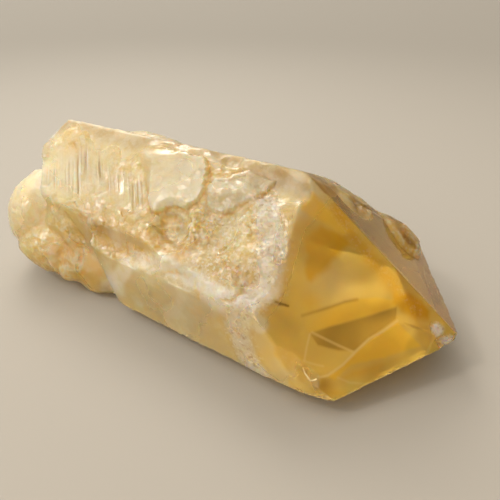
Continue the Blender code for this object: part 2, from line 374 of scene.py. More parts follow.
height += upward * (1.0 - resting) * (
    SHELL_RISE * ease(shell / shell_ramp) + SHELL_TWO_RISE * ease(shell_two / SHELL_EDGE))
height -= upward * BOWL_SINK * ease(bowl / 1.5)

# Thin growth sheets stand on edge in the broken block, and their ends show as silky streaks.
# Every sheet holds both of these runs.
SLANT = np.array([0.60, -0.61, -0.52])
INWARD = np.array([-0.727, 0.582, -0.365])
across = np.cross(SLANT, INWARD)
across /= np.linalg.norm(across)
step = spots @ across + 0.15 * lumps(spots * (0.35, 1, 1), 4.0, 13)
nothing = np.zeros(count)


def streaked(quickness, size, seed):
    """Random streaks about size across: lumps of the place across the sheets and of the place along
    them times quickness, so a streak is size / quickness long."""
    return lumps(np.stack([step, quickness * (spots @ SLANT), nothing], axis=-1), size, seed)


combed = streaked(0.16, 1.3, 15) + 0.8 * streaked(0.20, 0.8, 17)
clump = ease(0.55 + 1.1 * streaked(0.3, 4.5, 18))
fitful = ease(0.45 + 1.3 * streaked(0.42, 1.7, 20))
height += silk * clump * (0.06 + 0.20 * fitful) * combed * (1.0 - resting)

# The grown-on mass is lumpy, and broken most of all on its far side.
far_side = ease((-96.0 - spots[:, 0]) / 6.0)
lumpy = ease(lobe * 1.5)
height += lumpy * (0.45 * lumps(spots, 5.0, 19) + 0.40 * flakes(bent, 5.5, 75)) * (1.0 - resting)
height += lumpy * (0.25 + 0.75 * far_side) * (1.0 - resting) * (
    0.70 * flakes(bent, 7.0, 77) + 0.45 * flakes(bent, 3.2, 79) + 0.25 * (small_chips - 0.4))
height += plate * 0.10 * lumps(spots, 7.0, 91) * (1.0 - resting)

# On the front face a thin layer is missing below this curve, which leaves a fine step; the bright line along it is
# a painted highlight.
CURVE = [(-21.7, -24.1), (-19.2, -23.6), (-18.4, -22.4), (-16.5, -20.7), (-15.1, -17.9), (-14.1, -15.1),
         (-13.0, -12.4), (-10.4, -7.6), (-9.8, -6.6)]
BELOW_CURVE = CURVE + [(-4, -3), (-4, -12), (-10, -26), (-20, -28)]
LAYER_SINK = 0.14
height -= sharp_front * LAYER_SINK * ease(inside(above, BELOW_CURVE) / 0.3)
height += sharp_front * 0.05 * lumps(spots, 6.0, 93)
spots += height[:, None] * facing
worn = ease(1.3 * crease) * (1.0 - resting)
relax(spots, worn, edges, WORN_ROUNDS)
write_points(mesh, TIP + spots * MM)

# Colours, as the light that the quartz gives back.
HONEY = (0.78, 0.56, 0.13)
GOLD = (0.92, 0.60, 0.05)
AMBER = (0.74, 0.41, 0.002)
MILK = (0.78, 0.68, 0.33)
CREAM = (0.82, 0.78, 0.62)
BROWN = (0.34, 0.19, 0.01)
OCHRE = (0.50, 0.36, 0.12)
RUST = (0.72, 0.45, 0.09)
STRAW = (0.60, 0.45, 0.14)
SHELL = (0.66, 0.62, 0.47)
FROST = (0.88, 0.85, 0.70)
ORANGE = (0.82, 0.54, 0.13)
HAZE = (0.90, 0.70, 0.30)
WHITE = (0.98, 0.97, 0.94)


def on_front(places, depth):
    """Places on the front face, given as seen from above, sunk into the crystal by depth."""
    places = np.array(places, dtype=float)
    level = -(FACE_FRONT[0] * places[:, 0] + FACE_FRONT[1] * places[:, 1]) / FACE_FRONT[2]
    sunk = np.multiply.outer(np.broadcast_to(depth, len(places)), FACE_FRONT)
    return np.column_stack([places, level]) - sunk


BOUNDARY = [(-21.1, -19.3), (-18.8, -16.2), (-16.8, -13.6), (-13.9, -9.8), (-10.9, -5.7)]
BAND_TOP = [(-22.9, -19.0), (-20.4, -15.2), (-17.0, -10.5), (-14.0, -7.4), (-11.5, -5.4)]
WEDGE_FOOT = [(-19.4, -19.3), (-16.5, -17.3), (-14.1, -15.1), (-12.8, -12.0), (-10.4, -7.0)]
STREAK = [(-22.9, -18.6), (-21.2, -16.3), (-19.8, -14.4), (-18.2, -12.1), (-16.7, -10.3)]
ARC = [(-18.9, -23.6), (-18.2, -22.9), (-17.4, -21.8), (-16.5, -20.7), (-15.1, -17.9), (-14.1, -15.1),
       (-13.0, -12.4), (-11.4, -9.6), (-10.1, -7.0)]
SECOND = [(-15.5, -20.3), (-14.1, -16.9), (-9.9, -11.9), (-7.5, -8.7), (-5.5, -6.1)]
SECOND_FOOT = [(-13.9, -19.4), (-11.8, -17.1), (-8.8, -12.8), (-6.6, -9.2), (-4.9, -6.3)]
CORNER = [(-18.6, -24.0), (-17.3, -22.4), (-15.5, -21.0), (-13.4, -19.4), (-12.3, -19.6), (-14.2, -21.9),
          (-16.0, -23.5)]
AMBER_PATCH = [(-27.1, -11.3), (-26.5, -9.5), (-25.5, -7.8), (-23.8, -6.5), (-21.9, -5.7), (-20.4, -5.7),
               (-21.1, -7.7), (-21.6, -9.4), (-22.2, -11.2), (-23.1, -13.2), (-23.6, -14.9), (-24.4, -15.3),
               (-25.4, -14.3), (-25.7, -12.8), (-26.7, -12.3)]
RIDGE_PATCH = [(-29.8, -8.1), (-28.7, -6.0), (-26.8, -5.6), (-24.3, -5.2), (-21.3, -4.9), (-22.2, -6.3),
               (-24.7, -7.1), (-27.1, -8.6), (-28.9, -9.6)]
NEAR_TIP = [(-12.5, -4.8), (-10.2, -2.7), (-7.7, -1.6), (-5.8, -1.5), (-5.7, -2.9), (-7.7, -4.7),
            (-9.8, -5.7), (-11.8, -6.0)]
CRACK = [(-27.0, -20.7), (-26.2, -20.2), (-25.2, -19.5)]
# Painted highlights: the fine bright lines along the edges of slightly lower facets, each a line, a width and a
# strength.
BRIGHT_EDGE_LINES = [(ARC, 0.42, 1.0), ([(-21.0, -19.3), (-20.7, -20.8), (-20.3, -22.2)], 0.34, 0.8),
           ([(-20.8, -18.9), (-18.8, -17.9), (-16.5, -16.7), (-14.5, -15.6)], 0.38, 0.7),
           ([(-20.4, -22.4), (-19.0, -21.5), (-17.6, -20.5)], 0.32, 0.7),
           ([(-20.1, -22.9), (-19.4, -23.2), (-18.3, -23.1)], 0.32, 0.7),
           ([(-15.1, -19.7), (-13.3, -18.7), (-10.8, -16.6)], 0.36, 0.7)]


def paint(tones, tone, mask):
    """Lays a colour over the others as far as its mask says."""
    return tones + (np.array(tone) - tones) * np.clip(mask, 0.0, 1.0)[:, None]


mottle = lumps(spots, 9.0, 41) + 0.5 * lumps(spots, 4.0, 43) + 0.25 * lumps(spots, 2.0, 45)
speckle = ease(2.5 * lumps(spots, 0.9, 47) - 0.6)
body = ease((-25.0 - spots[:, 0]) / 9.0)
tones = np.tile(np.array(HONEY), (count, 1))
tones = paint(tones, MILK, body * (0.65 + 0.45 * mottle))
tones = paint(tones, WHITE, ease(lobe * 2.0) * (0.80 + 0.4 * mottle))
tones = paint(tones, ORANGE, ease(lobe * 2.0) * (0.3 + 0.7 * far_side) * ease(1.4 * mottle) * 0.7)
# The silky block's own cream, made lighter on the crests of its ridges as a painted highlight.
tones = paint(tones, CREAM, silk * (0.65 + 0.3 * combed))
tones = paint(tones, SHELL, upward * ease(shell / (0.15 + shell_ramp)) * (0.85 + 0.2 * mottle))
tones = paint(tones, SHELL, upward * ease(shell_two / 0.8) * 0.8)
# Painted shade: a darker orange band just outside the raised shells, under their edge.
rim = ease(1.0 - np.abs(shell + 0.4) / 0.7) * ease((spots[:, 0] + 62.0) / 6.0)
rim += ease(1.0 - np.abs(shell_two + 0.4) / 0.7)
tones = paint(tones, ORANGE, upward * rim * 0.30)
tones = paint(tones, GOLD, upward * ease(bowl / 1.2) * 0.5)
middle = ease((down - 1.0) / 3.0) * ease((spots[:, 0] + 78.0) / 4.0) * ease((-33.0 - spots[:, 0]) / 4.0)
tones = paint(tones, STRAW, middle * upward * (0.75 + 0.3 * mottle))
GROOVE_LINE = [(-73, -20.5, 12.5), (-66, -21, 11), (-60, -21, 10.5), (-54, -20.5, 12), (-48, -19.5, 13)]
tones = paint(tones, RUST, ease(along(spots, GROOVE_LINE, 5.0) * 1.5) * 0.8)
tones = paint(tones, BROWN, along(spots, [(-71, -20.5, 12), (-67, -20.5, 12.5)], 3.0) * 0.5)
tones = paint(tones, ORANGE, blob(spots, (-79, -21, 0), (15, 10, 12)) * 1.6)
tones = paint(tones, SHELL, plate * ease((spots[:, 0] + 69.0) / 3.0) * (0.55 + 0.3 * mottle))
RIM_LINE = [(-71.0, -19.5, -4.0), (-66.5, -21.8, -1.0), (-61.0, -22.6, 5.2), (-59.0, -22.2, 8.1),
            (-55.5, -21.7, 9.2), (-50.9, -22.3, 10.8), (-48.1, -22.2, 10.5), (-44.5, -22.8, 10.2),
            (-40.5, -23.6, 10.2), (-34.0, -24.1, 9.8), (-28.0, -24.5, 7.6)]
rim_line = along(spots, RIM_LINE, 2.6)
tones = paint(tones, WHITE, ease(rim_line * 1.7) * (0.85 + 0.3 * mottle))
tones = paint(tones, WHITE, blob(spots, (-36.5, -24, 8.3), (5.0, 3, 3)) * 1.2)
tones = paint(tones, WHITE, blob(spots, (-65.5, -22, 0.5), (5.0, 3, 5)) * 1.0)
tones = paint(tones, STRAW, ease(frost * 2.0) * 0.5)
tones = paint(tones, WHITE, ease((frost - 0.25) * 2.2) * (0.85 + 0.25 * mottle))
tones = paint(tones, BROWN, np.maximum(grain, frost) * speckle * 0.2)

# Painted light: ridges and broken rims get a pale painted highlight, hollows a deeper orange painted shade.
proud = ((spots - averaged(spots, edges, count)) * facing).sum(axis=1)
broken = np.clip(1.0 - flat - resting, 0.0, 1.0)
proud = (proud + averaged(proud[:, None], edges, count)[:, 0]) * 0.5 * broken
ridge_highlight = ease((proud - 0.004) / 0.04) * 0.75 * (1.0 - 0.6 * middle)
tones = paint(tones, FROST, ridge_highlight * (1.0 - 0.8 * ease(lobe * 2.0)))
# Painted shade: the hollows turn a deeper orange.
tones = paint(tones, ORANGE, ease((-proud - 0.004) / 0.05) * 0.6)
top_rim = ease((7.6 + spots[:, 1]) / 2.5 + 0.6 * mottle) * (1.0 - flat) * ease((spots[:, 2] - 8.0) / 6.0)
top_rim *= 1.0 - 0.85 * ease((spots[:, 1] + 3.5 + 1.5 * mottle) / 5.0)
tones = paint(tones, OCHRE, top_rim * 0.9)

# The front face of the point, from its haze to the dark corner beside the very tip.
front = sharp_front
tones = paint(tones, HAZE, front * blob(spots, (-21, -12, 11.5), (10, 7, 7)) * 0.9)
tones = paint(tones, FROST, front * ease((-24.5 - spots[:, 0] + 2.0 * mottle) / 6.0) * 0.6)
amber_patch = ease(inside(above + 0.35 * wander, AMBER_PATCH) / 1.1 + 0.25)
tones = paint(tones, AMBER, front * amber_patch * (1.0 + 0.3 * mottle))
tones = paint(tones, AMBER, along(spots, [(-24, -4.5, 21), (-20, -5, 16.7), (-12.3, -3.9, 9.4)], 2.6) * 0.8)
tones = paint(tones, GOLD, front * ease(inside(above + 0.35 * wander, RIDGE_PATCH) / 0.8 + 0.3) * 0.8)
tones = paint(tones, AMBER, blob(spots, (-22.5, -16.5, 9.5), (2.5, 2.5, 3)) * 0.4)
from_left = front * ease((spots[:, 0] + 23.5) / 5.0)
tones = paint(tones, GOLD, from_left * ease(inside(above, BAND_TOP + BOUNDARY[::-1]) / 0.35 + 0.5) * 0.8)
tones = paint(tones, BROWN, from_left * ease(inside(above, BOUNDARY + WEDGE_FOOT[::-1]) / 0.35 + 0.5) * 0.8)
tones = paint(tones, GOLD, front * ease(inside(above, ARC[3:] + SECOND[::-1]) / 0.4 + 0.5) * 0.9)
tones = paint(tones, AMBER, front * ease(inside(above, SECOND + SECOND_FOOT[::-1]) / 1.6) * 0.9)
tones = paint(tones, AMBER, front * ease(inside(above, CORNER) / 1.2) * 0.7)
tones = paint(tones, BROWN, blob(spots, (-16.6, -22.0, -1.8), (3.6, 2.6, 2.6)) * 0.9)
tones = paint(tones, BROWN, along(spots, on_front(STREAK, 0.0), 0.5) * 0.5)
# Painted highlight along the fine facet edges.
for places, width, strength in BRIGHT_EDGE_LINES:
    tones = paint(tones, HAZE, along(spots, on_front(places, 0.0), width) * strength)
tones = paint(tones, BROWN, along(spots, on_front(CRACK, 0.0), 0.35) * 1.4)
tones = paint(tones, BROWN, along(spots, on_front(CRACK, 0.0), 0.18) * 1.4)
tones = paint(tones, BROWN, front * blob(spots, (-10.0, -15.0, -2.0), (3.5, 4, 2.5)) * 0.5)
tones = paint(tones, AMBER, front * ease(inside(above + 0.25 * wander, NEAR_TIP) / 1.0 + 0.3) * 1.0)
# The two white chips beside the tip: partly their own frosted white, partly a painted highlight where they catch
# the light.
UPPER_CHIP, LOWER_CHIP = (-4.0, -2.3, 2.0), (-2.0, -1.5, -0.1)
tones = paint(tones, WHITE, blob(spots, UPPER_CHIP, (1.9, 1.4, 1.5)) * 2.0)
tones = paint(tones, WHITE, blob(spots, LOWER_CHIP, (2.4, 1.6, 1.3)) * 2.2)
# Painted shade: the face beyond the ridge, turned away from the light, is painted brown with faint streaks across
# it.
rear_face_shade = ease((facing @ FACE_BACK - 0.8) * 8.0) * ease((2.0 - np.abs(spots @ FACE_BACK)) * 2.0)
REAR_RUN = np.cross(FACE_BACK, (-0.74, -0.09, 0.66))
streaks = lumps(np.stack([spots @ REAR_RUN, nothing, nothing], axis=-1), 1.4, 97)
tones = paint(tones, BROWN, rear_face_shade * (0.80 + 0.25 * streaks))
rough = 0.26 + 0.10 * mottle * (1.0 - flat) + 0.08 * frost - 0.08 * silk + 0.16 * ease(lobe * 2.0)
rough = rough - 0.18 * flat + 0.12 * top_rim
rough = np.clip(rough + 0.30 * flat * ease((-22.5 - spots[:, 0] + mottle) / 6.0), 0.08, 0.75)
grainy = np.clip(0.15 * rugged + 0.8 * grain + frost, 0.0, 1.0)
RIDGE_LINE = [(-31, -5.6, 26), (-24, -4.6, 21), (-20, -5, 16.7), (-12.3, -3.9, 9.4), (-8, -3.4, 5.4)]
ridge_line = along(spots, RIDGE_LINE, 2.2)
chipped = strongest(spots, ((UPPER_CHIP, (2.2, 1.8, 1.8)), (LOWER_CHIP, (2.6, 1.8, 1.6))))
grainy = np.maximum(grainy, 0.12 * ridge_line * sharp_front + ease(2.0 * chipped))


def store(mesh, name, values):
    """Keeps one number or colour per vertex with the mesh."""
    if values.ndim == 1:
        mesh.attributes.new(name, "FLOAT", "POINT").data.foreach_set("value", values.astype(np.float32))
    else:
        rows = np.ones((len(values), 4), dtype=np.float32)
        rows[:, :3] = values
        mesh.attributes.new(name, "FLOAT_COLOR", "POINT").data.foreach_set("color", rows.ravel())


store(mesh, "tone", tones)
store(mesh, "rough", rough)
store(mesh, "grainy", grainy)
store(mesh, "silky", silk * (0.25 + 0.75 * clump) * (0.15 + 0.95 * fitful) * (1.0 - resting))
store(mesh, "comb", step)
store(mesh, "cloudy", body * (1.0 - resting))
store(mesh, "broken", rugged * (1.0 - silk) * (1.0 - ease(lobe * 2.0)) * (1.0 - 0.6 * top_rim) * body)


def small_grains(nodes, links, size):
    """Tiny flat grains: the space round each scattered centre is a cell with its own colour, and its
    height runs along the cell's own random tilt, so every grain glints by itself."""
    place = nodes.new("ShaderNodeTexCoord")
    cell = nodes.new("ShaderNodeTexVoronoi")
    cell.inputs["Scale"].default_value = size
    links.new(place.outputs["Object"], cell.inputs["Vector"])
    away = nodes.new("ShaderNodeVectorMath")
    away.operation = "SUBTRACT"
    links.new(place.outputs["Object"], away.inputs[0])
    links.new(cell.outputs["Position"], away.inputs[1])
    tilt = nodes.new("ShaderNodeVectorMath")
    tilt.operation = "SUBTRACT"
    tilt.inputs[1].default_value = (0.5, 0.5, 0.5)
    links.new(cell.outputs["Color"], tilt.inputs[0])
    slope = nodes.new("ShaderNodeVectorMath")
    slope.operation = "DOT_PRODUCT"
    links.new(away.outputs["Vector"], slope.inputs[0])
    links.new(tilt.outputs["Vector"], slope.inputs[1])
    chance = nodes.new("ShaderNodeSeparateColor")
    links.new(cell.outputs["Color"], chance.inputs["Color"])
    return slope.outputs["Value"], chance.outputs["Red"]


def fine_noise(nodes, links, size, strand):
    """Random marks about 1 / size across, or fine lines along the growth sheets."""
    noise = nodes.new("ShaderNodeTexNoise")
    noise.inputs["Scale"].default_value = size
    noise.inputs["Detail"].default_value = 3.0
    if strand:
        noise.noise_dimensions = "1D"
        comb = nodes.new("ShaderNodeAttribute")
        comb.attribute_name = "comb"
        links.new(comb.outputs["Fac"], noise.inputs["W"])
    else:
        place = nodes.new("ShaderNodeTexCoord")
        links.new(place.outputs["Object"], noise.inputs["Vector"])
    return noise.outputs["Fac"]


def masked(nodes, links, value, mask_name):
    """A value where a mask of the mesh is 1, nothing where it is 0."""
    mask = nodes.new("ShaderNodeAttribute")
    mask.attribute_name = mask_name
    part = nodes.new("ShaderNodeMath")
    part.operation = "MULTIPLY"
    links.new(value, part.inputs[0])
    links.new(mask.outputs["Fac"], part.inputs[1])
    return part.outputs["Value"]


COLOUR_MARKS = (("cloudy", "noise", 230.0, 0.50, 0.66, 0.40, (0.94, 0.91, 0.78)),
                ("cloudy", "noise", 480.0, 0.54, 0.66, 0.30, (0.74, 0.52, 0.15)),
                # The white marks of the next three rows are partly sugary frost and partly painted glints.
                ("broken", "grains", 620.0, 0.80, 0.84, 0.30, (0.98, 0.96, 0.90)),
                ("grainy", "noise", 1300.0, 0.54, 0.64, 0.35, (0.98, 0.97, 0.93)),
                ("grainy", "grains", 2300.0, 0.80, 0.84, 0.80, (1.0, 0.99, 0.95)),
                ("grainy", "grains", 2000.0, 0.09, 0.06, 0.55, (0.40, 0.27, 0.12)),
                # Silky strands: the dark ones are painted shade between the threads, the white ones painted glints
                # on them.
                ("silky", "strands", 1.1, 0.50, 0.38, 0.95, (0.44, 0.28, 0.07)),
                ("silky", "strands", 1.7, 0.55, 0.60, 1.0, (1.0, 1.0, 0.97)))


def grown_colour(nodes, links):
    """The painted tone with marks finer than the mesh: milk wisps, white grains that are partly sugary frost and
    partly painted glints, dark specks, and silky threads that run from a gold of painted shade to the nearly white
    of painted glints."""
    tone = nodes.new("ShaderNodeAttribute")
    tone.attribute_name = "tone"
    colour = tone.outputs["Color"]
    for mask_name, kind, size, least, most, share, tint in COLOUR_MARKS:
        if kind == "grains":
            source = small_grains(nodes, links, size)[1]
        else:
            source = fine_noise(nodes, links, size, kind == "strands")
        cut = nodes.new("ShaderNodeMapRange")
        cut.inputs["From Min"].default_value = least
        cut.inputs["From Max"].default_value = most
        cut.inputs["To Max"].default_value = share
        links.new(source, cut.inputs["Value"])
        mix = nodes.new("ShaderNodeMix")
        mix.data_type = "RGBA"
        mix.inputs["B"].default_value = (*tint, 1.0)
        links.new(masked(nodes, links, cut.outputs["Result"], mask_name), mix.inputs["Factor"])
        links.new(colour, mix.inputs["A"])
        colour = mix.outputs["Result"]
    return colour


RELIEF_MARKS = (("broken", "grains", 430.0, 0.30), ("broken", "grains", 1000.0, 0.28),
                ("grainy", "grains", 1900.0, 0.80), ("grainy", "noise", 4200.0, 0.00008),
                ("silky", "strands", 0.9, 0.00075), ("silky", "strands", 3.1, 0.00018))


def relief(nodes, links):
    """Relief finer than the mesh, in metres: tilted grains where the quartz is broken or crushed,
    and silky threads. A grain's share scales its tilt."""
    height = None
    for mask_name, kind, size, share in RELIEF_MARKS:
        if kind == "grains":
            source = small_grains(nodes, links, size)[0]
        else:
            source = fine_noise(nodes, links, size, kind == "strands")
        scaled = nodes.new("ShaderNodeMath")
        scaled.operation = "MULTIPLY_ADD"
        scaled.inputs[1].default_value = share
        scaled.inputs[2].default_value = 0.0
        links.new(masked(nodes, links, source, mask_name), scaled.inputs[0])
        if height:
            links.new(height, scaled.inputs[2])
        height = scaled.outputs["Value"]
    bump = nodes.new("ShaderNodeBump")
    bump.inputs["Strength"].default_value = 1.0
    bump.inputs["Distance"].default_value = 1.0
    links.new(height, bump.inputs["Height"])
    return bump.outputs["Normal"]


def quartz():
    """Golden glassy quartz: part of the light passes through, the rest glows back from its haze."""
    material = bpy.data.materials.new("golden_quartz")
    material.use_nodes = True
    nodes, links = material.node_tree.nodes, material.node_tree.links
    shader = nodes["Principled BSDF"]
    shader.inputs["IOR"].default_value = 1.55
    shader.inputs["Transmission Weight"].default_value = 0.74
    shader.inputs["Subsurface Weight"].default_value = 1.0
    shader.inputs["Subsurface Radius"].default_value = (1.0, 0.62, 0.30)
    shader.inputs["Subsurface Scale"].default_value = 0.006
    links.new(grown_colour(nodes, links), shader.inputs["Base Color"])
    rough = nodes.new("ShaderNodeAttribute")
    rough.attribute_name = "rough"
    links.new(rough.outputs["Fac"], shader.inputs["Roughness"])
    links.new(relief(nodes, links), shader.inputs["Normal"])
    depth = nodes.new("ShaderNodeVolumeAbsorption")
    depth.inputs["Color"].default_value = (0.97, 0.82, 0.20, 1.0)
    depth.inputs["Density"].default_value = 30.0
    links.new(depth.outputs["Volume"], nodes["Material Output"].inputs["Volume"])
    return material


mesh.materials.clear()
mesh.materials.append(quartz())
mesh.polygons.foreach_set("use_smooth", np.ones(len(mesh.polygons), dtype=bool))
mesh.set_sharp_from_angle(angle=math.radians(30.0))
sharp = np.empty(len(mesh.edges), dtype=bool)
mesh.attributes["sharp_edge"].data.foreach_get("value", sharp)
mesh.attributes["sharp_edge"].data.foreach_set("value", sharp & (worn[edges].max(axis=1) < 0.1))
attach(crystal, "root")
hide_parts("citrine_crystal")


# ---------------------------------------------------------------- cloud
# The milky heart of the crystal: countless tiny fluid bubbles that were caught as it grew.
# It fills the prism to just under the skin and ends in ragged wisps before the point.

HEART_CELL = 0.0016
HEART_ROUNDS = 4
MILK_LOBE = (0.97, 0.94, 0.86)
DENSE_SIDE = np.array([0.469, -0.723, 0.508])     # the cloud is thick under the large broken face
FAR_SHARE = 0.35                                  # and this much as thick on the far side
HEART_END = -33.0                                 # where the milk ends, in millimetres from the point
heart = merged_copy(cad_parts["citrine_crystal"], "milky_heart")
net = heart.modifiers.new("net", "REMESH")
net.mode = "VOXEL"
net.voxel_size = HEART_CELL
apply_modifiers(heart)
heart_edges = edge_rows(heart.data)
inner = (read_rows(heart.data, "co") - TIP) / MM
relax(inner, np.ones(len(inner)), heart_edges, HEART_ROUNDS)
write_points(heart.data, TIP + inner * MM)
outward = read_rows(heart.data, "normal")
depth = 1.7 + 0.7 * lumps(inner, 9.0, 201) + 0.4 * lumps(inner, 3.5, 203)
depth += 2.2 * along(inner, [(-75, -20, 8), (-63, -21, 10), (-50, -20, 12), (-40, -19, 14)], 9.0)
depth += 4.0 * ease((inner[:, 0] + 46.0) / 16.0) + 2.0 * ease((-12.0 - inner[:, 2] * 3.0 - 0.0) / 12.0)
inner -= depth[:, None] * outward
end = HEART_END + 4.0 * lumps(inner * (0.2, 1, 1), 7.0, 205) + 2.0 * lumps(inner * (0.2, 1, 1), 2.5, 207)
inner[:, 0] = np.where(inner[:, 0] > end, end + 0.12 * (inner[:, 0] - end), inner[:, 0])
write_points(heart.data, TIP + inner * MM)
skin = 0.52 + 0.28 * lumps(inner, 8.0, 211) + 0.15 * lumps(inner, 3.0, 213)
skin += 0.25 * blob(inner, (-58, -8, 19), (16, 10, 9)) + 0.2 * blob(inner, (-92, -11, 4), (18, 16, 18))
skin *= np.where(outward @ DENSE_SIDE > 0.0, 1.0, FAR_SHARE)
skin *= ease((end - 1.0 - inner[:, 0]) / 9.0)
store(heart.data, "mist", np.clip(skin, 0.0, 0.95))
milk = np.tile(np.array((0.78, 0.69, 0.43)), (len(inner), 1))
lobe_milk = ease(2.0 * blob(inner, *LOBE_EGG))
milk = paint(milk, MILK_LOBE, lobe_milk * (0.6 + 0.4 * lumps(inner, 5.0, 215)))
milk = paint(milk, (0.92, 0.90, 0.80), ease(2.0 * blob(inner, (-50, -22, 8), (22, 5, 6))) * 0.8)
milk = paint(milk, (0.90, 0.68, 0.28), blob(inner, (-79, -20, -1), (15, 10, 10)))
store(heart.data, "tone", milk)


def cloud():
    """Milk-white quartz: light scatters many times inside it and comes out soft."""
    material = bpy.data.materials.new("milky_quartz")
    material.use_nodes = True
    nodes, links = material.node_tree.nodes, material.node_tree.links
    shader = nodes["Principled BSDF"]
    mist = nodes.new("ShaderNodeAttribute")
    mist.attribute_name = "mist"
    links.new(mist.outputs["Fac"], shader.inputs["Alpha"])
    tone = nodes.new("ShaderNodeAttribute")
    tone.attribute_name = "tone"
    links.new(tone.outputs["Color"], shader.inputs["Base Color"])
    shader.inputs["Roughness"].default_value = 0.8
    shader.inputs["Specular IOR Level"].default_value = 0.0
    shader.inputs["Subsurface Weight"].default_value = 1.0
    shader.inputs["Subsurface Radius"].default_value = (1.0, 0.7, 0.4)
    shader.inputs["Subsurface Scale"].default_value = 0.008
    return material


heart.data.materials.clear()
heart.data.materials.append(cloud())
heart.data.polygons.foreach_set("use_smooth", np.ones(len(heart.data.polygons), dtype=bool))
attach(heart, "root")


# ---------------------------------------------------------------- layers
# Growth layers and healed cracks inside the point, seen through its front face: thin golden and brown sheets with
# one crisp edge, pale ribbons of painted highlight along fine facet edges, a small dark crack and bright flecks of
# painted glint.

def evenly(places, steps):
    """Steps places spaced evenly along a line of places."""
    places = np.array(places, dtype=float)
    gone = np.concatenate([[0.0], np.cumsum(np.linalg.norm(np.diff(places, axis=0), axis=1))])
    where = np.linspace(0.0, gone[-1], steps)
    return np.stack([np.interp(where, gone, places[:, axis]) for axis in range(places.shape[1])], axis=-1)


def quads(rows, columns, first):
    """The corner numbers of a grid's cells, row by row."""
    start = first + np.arange(rows - 1)[:, None] * columns + np.arange(columns - 1)
    return np.stack([start, start + 1, start + columns + 1, start + columns], axis=-1).reshape(-1, 4)


LAYER_ROWS, LAYER_COLUMNS = 14, 48


def layer(upper, lower, depth, mist, ends):
    """A sheet between two lines: each point is a mix of both by its share across, sunk and slightly
    waved; its thickness of colour runs through mist's values across and fades at its ends."""
    u = np.linspace(0.0, 1.0, LAYER_COLUMNS)
    v = np.linspace(0.0, 1.0, LAYER_ROWS)
    top, foot = evenly(upper, LAYER_COLUMNS), evenly(lower, LAYER_COLUMNS)
    flat_places = ((1.0 - v)[:, None, None] * top + v[:, None, None] * foot).reshape(-1, 2)
    u, v = np.tile(u, LAYER_ROWS), np.repeat(v, LAYER_COLUMNS)
    points = on_front(flat_places, depth + 0.25 * np.sin(np.pi * v))
    strength = np.interp(v, np.linspace(0.0, 1.0, len(mist)), mist)
    strength = strength * ease(u / max(ends[0], 1e-3)) * ease((1.0 - u) / max(ends[1], 1e-3))
    return points, strength * (0.85 + 0.25 * lumps(points, 1.6, 301)), (LAYER_ROWS, LAYER_COLUMNS)


THREAD_COLUMNS = 60


def thread(places, depth, width, strength):
    """A ribbon along a line: five rows from edge to edge, clear at the edges, thinning at the ends."""
    line = evenly(places, THREAD_COLUMNS)
    line = line + 0.10 * np.stack([lumps(on_front(line, 0.0), 1.5, seed) for seed in (303, 305)], axis=-1)
    run = np.gradient(line, axis=0)
    side = np.stack([-run[:, 1], run[:, 0]], axis=-1) / np.linalg.norm(run, axis=1)[:, None]
    across = np.array([-1.0, -0.5, 0.0, 0.5, 1.0])
    share = np.linspace(0.0, 1.0, THREAD_COLUMNS)
    waver = 0.8 + 0.4 * lumps(on_front(line, 0.0), 0.8, 307)
    spread = width * (0.5 + 0.5 * np.sin(np.pi * share)) * waver
    flat_places = (line[None] + across[:, None, None] * (spread[:, None] * side)[None]).reshape(-1, 2)
    fade = np.repeat(np.array([0.0, 0.7, 1.0, 0.7, 0.0]), THREAD_COLUMNS)
    fade = fade * np.tile(ease(share / 0.08) * ease((1.0 - share) / 0.08), 5)
    return on_front(flat_places, depth), strength * fade, (5, THREAD_COLUMNS)


def glint_fleck(place, depth, size, seed):
    """A painted glint: a bright fan of a few rows whose rim wanders, tilted at random."""
    angle = np.linspace(0.0, 2.0 * np.pi, 9)
    corners = scattered(np.stack([np.arange(9) % 8, np.full(9, seed), np.zeros(9)], axis=-1), seed)
    radius = size * (0.5 + 0.7 * corners)
    ring = np.stack([np.cos(angle), np.sin(angle)], axis=-1) * radius[:, None]
    flat_places = np.array(place) + np.concatenate([ring * 0.02, ring * 0.6, ring])
    points = on_front(flat_places, depth + 0.15 * np.cos(np.tile(angle, 3) + seed))
    return points, np.repeat([1.0, 1.0, 0.3], 9), (3, 9)


EDGE_HIGHLIGHT = (0.95, 0.82, 0.50)
BAND = (0.78, 0.52, 0.10)
DARK = (0.40, 0.23, 0.03)
DEEP = (0.46, 0.25, 0.01)
inclusions_and_glints = [
    (BAND, layer(BAND_TOP, BOUNDARY, 0.9, (0.15, 0.6, 0.8, 0.9), (0.35, 0.05))),
    (DARK, layer(BOUNDARY, WEDGE_FOOT, 1.0, (0.8, 0.6, 0.4, 0.3), (0.25, 0.05))),
    (BAND, layer(ARC[3:], SECOND, 0.8, (0.3, 0.5, 0.7, 0.8), (0.15, 0.15))),
    (DEEP, layer(SECOND, SECOND_FOOT, 1.1, (0.6, 0.4, 0.1, 0.0), (0.25, 0.5))),
    (DEEP, layer([(-13.6, -5.1), (-11.7, -3.7), (-9.3, -2.3), (-6.1, -1.3)],
                 [(-12.1, -6.2), (-9.8, -5.7), (-7.5, -4.4), (-5.8, -2.7)], 0.8, (0.0, 0.6, 0.7, 0.2), (0.4, 0.3))),
    (DARK, thread(STREAK, 0.35, 0.26, 0.6)),
    ((0.16, 0.07, 0.02), thread(CRACK, 0.25, 0.16, 1.0)),
]
# The same lines of painted highlight, as pale ribbons just under the face.
inclusions_and_glints += [(EDGE_HIGHLIGHT, thread(places, 0.30, width / 2.0, strength)) for places, width, strength in BRIGHT_EDGE_LINES]
